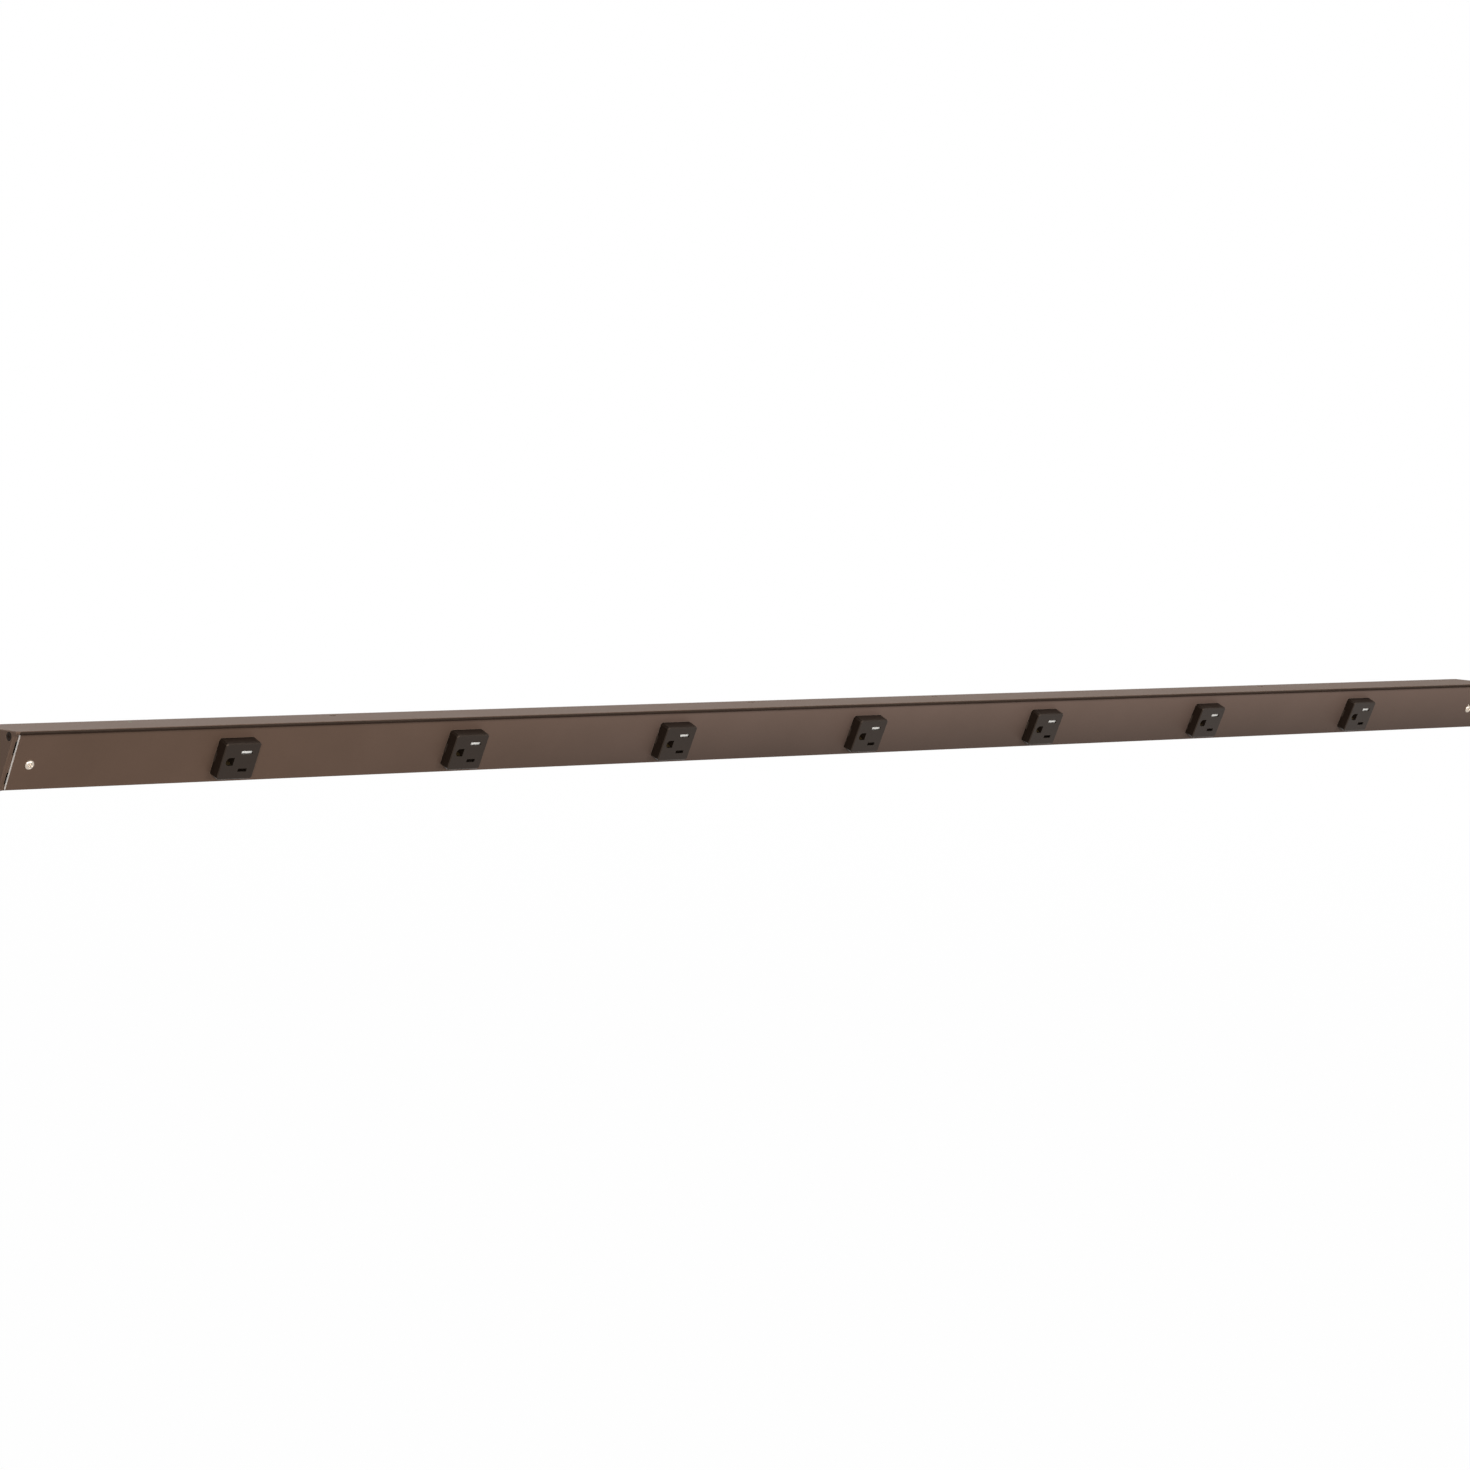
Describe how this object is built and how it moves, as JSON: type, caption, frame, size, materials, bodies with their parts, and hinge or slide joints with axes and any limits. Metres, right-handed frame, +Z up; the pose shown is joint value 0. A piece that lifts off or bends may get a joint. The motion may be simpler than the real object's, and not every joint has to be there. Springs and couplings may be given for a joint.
{
  "type": "under cabinet power strip",
  "caption": "Long bronze metal power strip with a slanted front and a row of black grounded sockets, to screw up under a wall cabinet.",
  "frame": {"origin": "centre of the flat top face that goes up against the cabinet", "axes": "+X along the strip, to the right of someone facing the sockets; -Y is the front that the sockets face; +Z up"},
  "size_m": [1.524, 0.0462, 0.0385],
  "materials": {
    "bronze_finish": "satin bronze paint",
    "black_moulding": "fine matt moulded",
    "shutter_white": "smooth moulded",
    "contact_brass": "bright strip",
    "spring_steel": "drawn strip",
    "bright_screw": "nickel plate",
    "dark_screw": "dark bronze",
    "bonding_green": "green dyed steel",
    "black_insulation": "extruded",
    "white_insulation": "extruded",
    "green_insulation": "extruded",
    "connector_shell": "moulded"
  },
  "bodies": {
    "strip": {"housing": "bronze_finish", "cover": "bronze_finish", "end_cap_left": "bronze_finish", "end_cap_right": "bronze_finish", "end_cap_screws": "dark_screw", "cover_screws": "bright_screw", "neutral_wire": "white_insulation", "hot_wire": "black_insulation", "ground_wire": "green_insulation", "bonding_screw": "bonding_green", "splice_connectors": "connector_shell", "receptacle_1_face": "black_moulding", "receptacle_1_base": "black_moulding", "receptacle_1_shutter_spring": "spring_steel", "receptacle_1_neutral_contact": "contact_brass", "receptacle_1_hot_contact": "contact_brass", "receptacle_1_ground_contact": "contact_brass", "receptacle_2_face": "black_moulding", "receptacle_2_base": "black_moulding", "receptacle_2_shutter_spring": "spring_steel", "receptacle_2_neutral_contact": "contact_brass", "receptacle_2_hot_contact": "contact_brass", "receptacle_2_ground_contact": "contact_brass", "receptacle_3_face": "black_moulding", "receptacle_3_base": "black_moulding", "receptacle_3_shutter_spring": "spring_steel", "receptacle_3_neutral_contact": "contact_brass", "receptacle_3_hot_contact": "contact_brass", "receptacle_3_ground_contact": "contact_brass", "receptacle_4_face": "black_moulding", "receptacle_4_base": "black_moulding", "receptacle_4_shutter_spring": "spring_steel", "receptacle_4_neutral_contact": "contact_brass", "receptacle_4_hot_contact": "contact_brass", "receptacle_4_ground_contact": "contact_brass", "receptacle_5_face": "black_moulding", "receptacle_5_base": "black_moulding", "receptacle_5_shutter_spring": "spring_steel", "receptacle_5_neutral_contact": "contact_brass", "receptacle_5_hot_contact": "contact_brass", "receptacle_5_ground_contact": "contact_brass", "receptacle_6_face": "black_moulding", "receptacle_6_base": "black_moulding", "receptacle_6_shutter_spring": "spring_steel", "receptacle_6_neutral_contact": "contact_brass", "receptacle_6_hot_contact": "contact_brass", "receptacle_6_ground_contact": "contact_brass", "receptacle_7_face": "black_moulding", "receptacle_7_base": "black_moulding", "receptacle_7_shutter_spring": "spring_steel", "receptacle_7_neutral_contact": "contact_brass", "receptacle_7_hot_contact": "contact_brass", "receptacle_7_ground_contact": "contact_brass"},
    "shutter_1": {"receptacle_1_shutter": "shutter_white"},
    "shutter_2": {"receptacle_2_shutter": "shutter_white"},
    "shutter_3": {"receptacle_3_shutter": "shutter_white"},
    "shutter_4": {"receptacle_4_shutter": "shutter_white"},
    "shutter_5": {"receptacle_5_shutter": "shutter_white"},
    "shutter_6": {"receptacle_6_shutter": "shutter_white"},
    "shutter_7": {"receptacle_7_shutter": "shutter_white"}
  },
  "joints": [
    {"name": "shutter_1_slide", "type": "slide", "parent": "strip", "child": "shutter_1", "axis": [0, -0.3827, 0.9239], "range_m": [0, 0.0028], "stiffness_N_per_m": 100, "springref_m": -0.003, "deforming": ["receptacle_1_shutter_spring"]},
    {"name": "shutter_2_slide", "type": "slide", "parent": "strip", "child": "shutter_2", "axis": [0, -0.3827, 0.9239], "range_m": [0, 0.0028], "stiffness_N_per_m": 100, "springref_m": -0.003, "deforming": ["receptacle_2_shutter_spring"]},
    {"name": "shutter_3_slide", "type": "slide", "parent": "strip", "child": "shutter_3", "axis": [0, -0.3827, 0.9239], "range_m": [0, 0.0028], "stiffness_N_per_m": 100, "springref_m": -0.003, "deforming": ["receptacle_3_shutter_spring"]},
    {"name": "shutter_4_slide", "type": "slide", "parent": "strip", "child": "shutter_4", "axis": [0, -0.3827, 0.9239], "range_m": [0, 0.0028], "stiffness_N_per_m": 100, "springref_m": -0.003, "deforming": ["receptacle_4_shutter_spring"]},
    {"name": "shutter_5_slide", "type": "slide", "parent": "strip", "child": "shutter_5", "axis": [0, -0.3827, 0.9239], "range_m": [0, 0.0028], "stiffness_N_per_m": 100, "springref_m": -0.003, "deforming": ["receptacle_5_shutter_spring"]},
    {"name": "shutter_6_slide", "type": "slide", "parent": "strip", "child": "shutter_6", "axis": [0, -0.3827, 0.9239], "range_m": [0, 0.0028], "stiffness_N_per_m": 100, "springref_m": -0.003, "deforming": ["receptacle_6_shutter_spring"]},
    {"name": "shutter_7_slide", "type": "slide", "parent": "strip", "child": "shutter_7", "axis": [0, -0.3827, 0.9239], "range_m": [0, 0.0028], "stiffness_N_per_m": 100, "springref_m": -0.003, "deforming": ["receptacle_7_shutter_spring"]}
  ]
}
